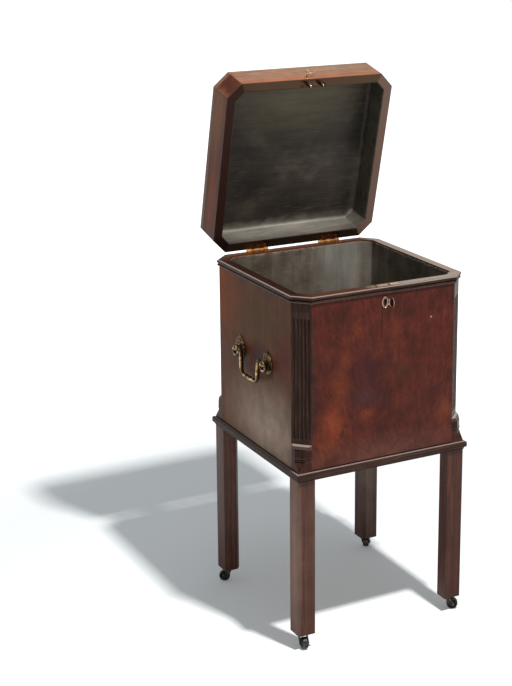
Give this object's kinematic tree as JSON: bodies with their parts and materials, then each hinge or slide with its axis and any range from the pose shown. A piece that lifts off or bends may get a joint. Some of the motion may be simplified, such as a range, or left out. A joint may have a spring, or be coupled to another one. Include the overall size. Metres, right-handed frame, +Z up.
{
  "type": "cellarette",
  "caption": "Canted, lead-lined mahogany bottle box with a box lid, fluted corners, brass carrying handles and lock, on a four-legged stand with castors.",
  "frame": {"origin": "on the floor, under the middle of the whole object's box with its lid standing open", "axes": "+Z up, -Y to the front with the keyhole, +X to the right of someone facing the front"},
  "size_m": [0.4002, 0.4431, 1.0715],
  "materials": {
    "solid_mahogany": "waxed solid mahogany",
    "flame_veneer": "polished flame mahogany veneer",
    "side_veneer": "faded, waxed mahogany veneer",
    "lid_veneer": "polished mahogany veneer",
    "carcase_pine": "bare softwood",
    "lead_sheet": "dull, oxidised lead sheet",
    "aged_brass": "aged, worn brass",
    "castor_brass": "dark, unpolished brass",
    "screw_steel": "dull steel"
  },
  "bodies": {
    "case": {"case_back": "side_veneer", "case_bottom": "carcase_pine", "case_front": "flame_veneer", "case_left": "side_veneer", "case_lining": "lead_sheet", "case_moulding": "solid_mahogany", "case_right": "side_veneer", "castor_plates": "castor_brass", "castor_screws": "screw_steel", "corner_brackets": "solid_mahogany", "corner_post_back_left": "solid_mahogany", "corner_post_back_right": "solid_mahogany", "corner_post_front_left": "solid_mahogany", "corner_post_front_right": "solid_mahogany", "escutcheon_pins": "aged_brass", "escutcheon_plate": "aged_brass", "handle_nuts": "aged_brass", "hinge_case_leaves": "aged_brass", "hinge_case_screws": "screw_steel", "hinge_pins": "aged_brass", "left_handle_plates": "aged_brass", "left_handle_pommels": "aged_brass", "leg_back_left": "solid_mahogany", "leg_back_right": "solid_mahogany", "leg_front_left": "solid_mahogany", "leg_front_right": "solid_mahogany", "lock_case": "aged_brass", "lock_selvedge": "aged_brass", "right_handle_plates": "aged_brass", "right_handle_pommels": "aged_brass", "stand_moulding": "solid_mahogany", "stand_rail_back": "solid_mahogany", "stand_rail_front": "solid_mahogany", "stand_rail_left": "solid_mahogany", "stand_rail_right": "solid_mahogany", "stand_screws": "screw_steel"},
    "lid": {"hinge_lid_leaves": "aged_brass", "hinge_lid_screws": "screw_steel", "lid_back": "lid_veneer", "lid_corners": "lid_veneer", "lid_front": "lid_veneer", "lid_left": "lid_veneer", "lid_lining": "lead_sheet", "lid_pull_stud": "aged_brass", "lid_right": "lid_veneer", "lid_top": "lid_veneer", "link_plate": "aged_brass"},
    "lid_pull": {"lid_pull_drop": "aged_brass"},
    "left_bail": {"left_handle_bail": "aged_brass"},
    "right_bail": {"right_handle_bail": "aged_brass"},
    "keyhole_cover": {"escutcheon_cover": "aged_brass"},
    "lock_bolt": {"lock_bolt": "aged_brass"},
    "castor_front_left": {"castor_fork_front_left": "castor_brass"},
    "wheel_front_left": {"castor_wheel_front_left": "castor_brass"},
    "castor_front_right": {"castor_fork_front_right": "castor_brass"},
    "wheel_front_right": {"castor_wheel_front_right": "castor_brass"},
    "castor_back_left": {"castor_fork_back_left": "castor_brass"},
    "wheel_back_left": {"castor_wheel_back_left": "castor_brass"},
    "castor_back_right": {"castor_fork_back_right": "castor_brass"},
    "wheel_back_right": {"castor_wheel_back_right": "castor_brass"}
  },
  "joints": [
    {"name": "lid_hinge", "type": "hinge", "parent": "case", "child": "lid", "pos_m": [0, 0.15823, 0.7003], "axis": [-1, 0, 0], "range_deg": [-76, 24]},
    {"name": "lid_pull_turn", "type": "hinge", "parent": "lid", "child": "lid_pull", "pos_m": [-0.012, 0.07643, 1.05443], "axis": [0, -0.2419, 0.9703], "continuous": true},
    {"name": "left_bail_hinge", "type": "hinge", "parent": "case", "child": "left_bail", "pos_m": [-0.1935, -0.02517, 0.544], "axis": [0, 1, 0], "range_deg": [0, 170]},
    {"name": "right_bail_hinge", "type": "hinge", "parent": "case", "child": "right_bail", "pos_m": [0.1935, -0.02517, 0.544], "axis": [0, -1, 0], "range_deg": [0, 170]},
    {"name": "keyhole_cover_hinge", "type": "hinge", "parent": "case", "child": "keyhole_cover", "pos_m": [0.0081, -0.20727, 0.6693], "axis": [0, 0, 1], "range_deg": [-100, 75]},
    {"name": "lock_bolt_slide", "type": "slide", "parent": "case", "child": "lock_bolt", "axis": [1, 0, 0], "range_m": [0, 0.006]},
    {"name": "castor_swivel_front_left", "type": "hinge", "parent": "case", "child": "castor_front_left", "pos_m": [-0.1655, -0.18767, 0.02745], "axis": [0, 0, 1], "continuous": true},
    {"name": "wheel_spin_front_left", "type": "hinge", "parent": "castor_front_left", "child": "wheel_front_left", "pos_m": [-0.16758, -0.19745, 0.0115], "axis": [-0.9781, 0.2079, 0], "continuous": true},
    {"name": "castor_swivel_front_right", "type": "hinge", "parent": "case", "child": "castor_front_right", "pos_m": [0.1655, -0.18767, 0.02745], "axis": [0, 0, 1], "continuous": true},
    {"name": "wheel_spin_front_right", "type": "hinge", "parent": "castor_front_right", "child": "wheel_front_right", "pos_m": [0.17416, -0.19267, 0.0115], "axis": [-0.5, -0.866, 0], "continuous": true},
    {"name": "castor_swivel_back_left", "type": "hinge", "parent": "case", "child": "castor_back_left", "pos_m": [-0.1655, 0.13733, 0.02745], "axis": [0, 0, 1], "continuous": true},
    {"name": "wheel_spin_back_left", "type": "hinge", "parent": "castor_back_left", "child": "wheel_back_left", "pos_m": [-0.17416, 0.14233, 0.0115], "axis": [0.5, 0.866, 0], "continuous": true},
    {"name": "castor_swivel_back_right", "type": "hinge", "parent": "case", "child": "castor_back_right", "pos_m": [0.1655, 0.13733, 0.02745], "axis": [0, 0, 1], "continuous": true},
    {"name": "wheel_spin_back_right", "type": "hinge", "parent": "castor_back_right", "child": "wheel_back_right", "pos_m": [0.17193, 0.14499, 0.0115], "axis": [0.766, -0.6428, 0], "continuous": true}
  ]
}
